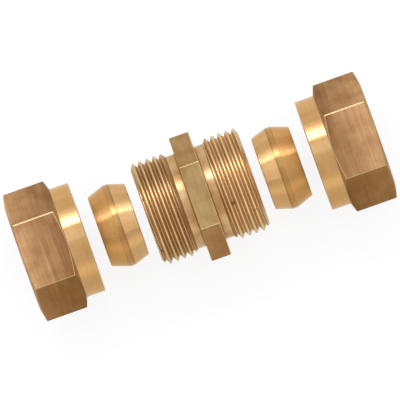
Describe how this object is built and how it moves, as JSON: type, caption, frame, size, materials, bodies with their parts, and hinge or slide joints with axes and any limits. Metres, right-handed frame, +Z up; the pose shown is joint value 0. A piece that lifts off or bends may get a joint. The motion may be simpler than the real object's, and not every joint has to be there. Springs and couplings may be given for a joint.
{
  "type": "straight compression coupling",
  "caption": "Brass straight coupling for joining plain tube end to end: a threaded body with a spanner hexagon, and an olive and a hexagon nut on each side, laid out apart on one axis.",
  "frame": {"origin": "middle of the body, on the tube's axis", "axes": "+X along the tube's axis towards the right-hand nut, +Z up, square to a flat of each hexagon"},
  "size_m": [0.1164, 0.0414, 0.036],
  "materials": {
    "body_brass": "turned, with a drawn, slightly dulled hexagon",
    "olive_brass": "finely turned, bright",
    "nut_brass": "drawn flats with streaks, turned collar"
  },
  "bodies": {
    "coupling_body": {"coupling_body": "body_brass"},
    "left_olive": {"left_olive": "olive_brass"},
    "right_olive": {"right_olive": "olive_brass"},
    "left_nut": {"left_nut": "nut_brass"},
    "right_nut": {"right_nut": "nut_brass"}
  },
  "joints": [
    {"name": "left_olive_slide", "type": "slide", "parent": "coupling_body", "child": "left_olive", "axis": [1, 0, 0], "range_m": [0, 0.00693]},
    {"name": "left_nut_slide", "type": "slide", "parent": "left_olive", "child": "left_nut", "axis": [1, 0, 0], "range_m": [0, 0.02215]},
    {"name": "right_olive_slide", "type": "slide", "parent": "coupling_body", "child": "right_olive", "axis": [-1, 0, 0], "range_m": [0, 0.00693]},
    {"name": "right_nut_slide", "type": "slide", "parent": "right_olive", "child": "right_nut", "axis": [-1, 0, 0], "range_m": [0, 0.02215]}
  ]
}
